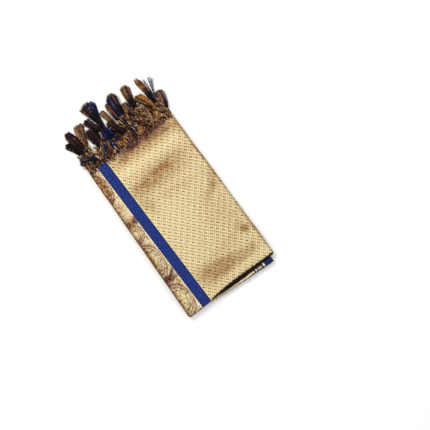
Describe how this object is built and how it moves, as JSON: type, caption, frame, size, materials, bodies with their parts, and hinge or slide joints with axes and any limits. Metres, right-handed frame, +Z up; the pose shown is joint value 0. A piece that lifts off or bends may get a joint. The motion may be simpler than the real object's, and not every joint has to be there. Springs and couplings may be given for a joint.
{
  "type": "folded shawl",
  "caption": "Shawl folded into a flat oblong, gold brocade with a woven band and a patterned border, tasselled fringe at one end.",
  "frame": {"origin": "on the flat underside, at the middle of the folded length", "axes": "+Z up off the surface it rests on, +Y along the folded length towards the fringe, +X across it, away from the patterned border"},
  "size_m": [0.302, 0.6236, 0.0182],
  "materials": {
    "gold_brocade": "woven zari brocade, soft metallic sheen",
    "inner_cloth": "woven zari brocade edge-on, matt",
    "black_brown_yarn": "twisted silk yarn",
    "black_yarn": "twisted silk yarn",
    "navy_yarn": "twisted silk yarn",
    "blue_yarn": "twisted silk yarn",
    "amber_yarn": "twisted metallic yarn",
    "tan_yarn": "twisted metallic yarn",
    "purple_yarn": "twisted silk yarn"
  },
  "bodies": {
    "root": {"upper_fold": "gold_brocade", "lower_fold": "gold_brocade", "inner_layers": "inner_cloth", "tassel_01": "black_brown_yarn", "tassel_02": "black_brown_yarn", "tassel_03": "amber_yarn", "tassel_04": "navy_yarn", "tassel_05": "black_brown_yarn", "tassel_06": "black_brown_yarn", "tassel_07": "black_yarn", "tassel_08": "blue_yarn", "tassel_09": "amber_yarn", "tassel_10": "black_yarn", "tassel_11": "tan_yarn", "tassel_12": "navy_yarn", "tassel_13": "tan_yarn", "tassel_14": "purple_yarn", "tassel_15": "amber_yarn", "tassel_16": "amber_yarn", "tassel_17": "blue_yarn", "tassel_18": "purple_yarn", "under_fringe": "tan_yarn"}
  },
  "joints": []
}
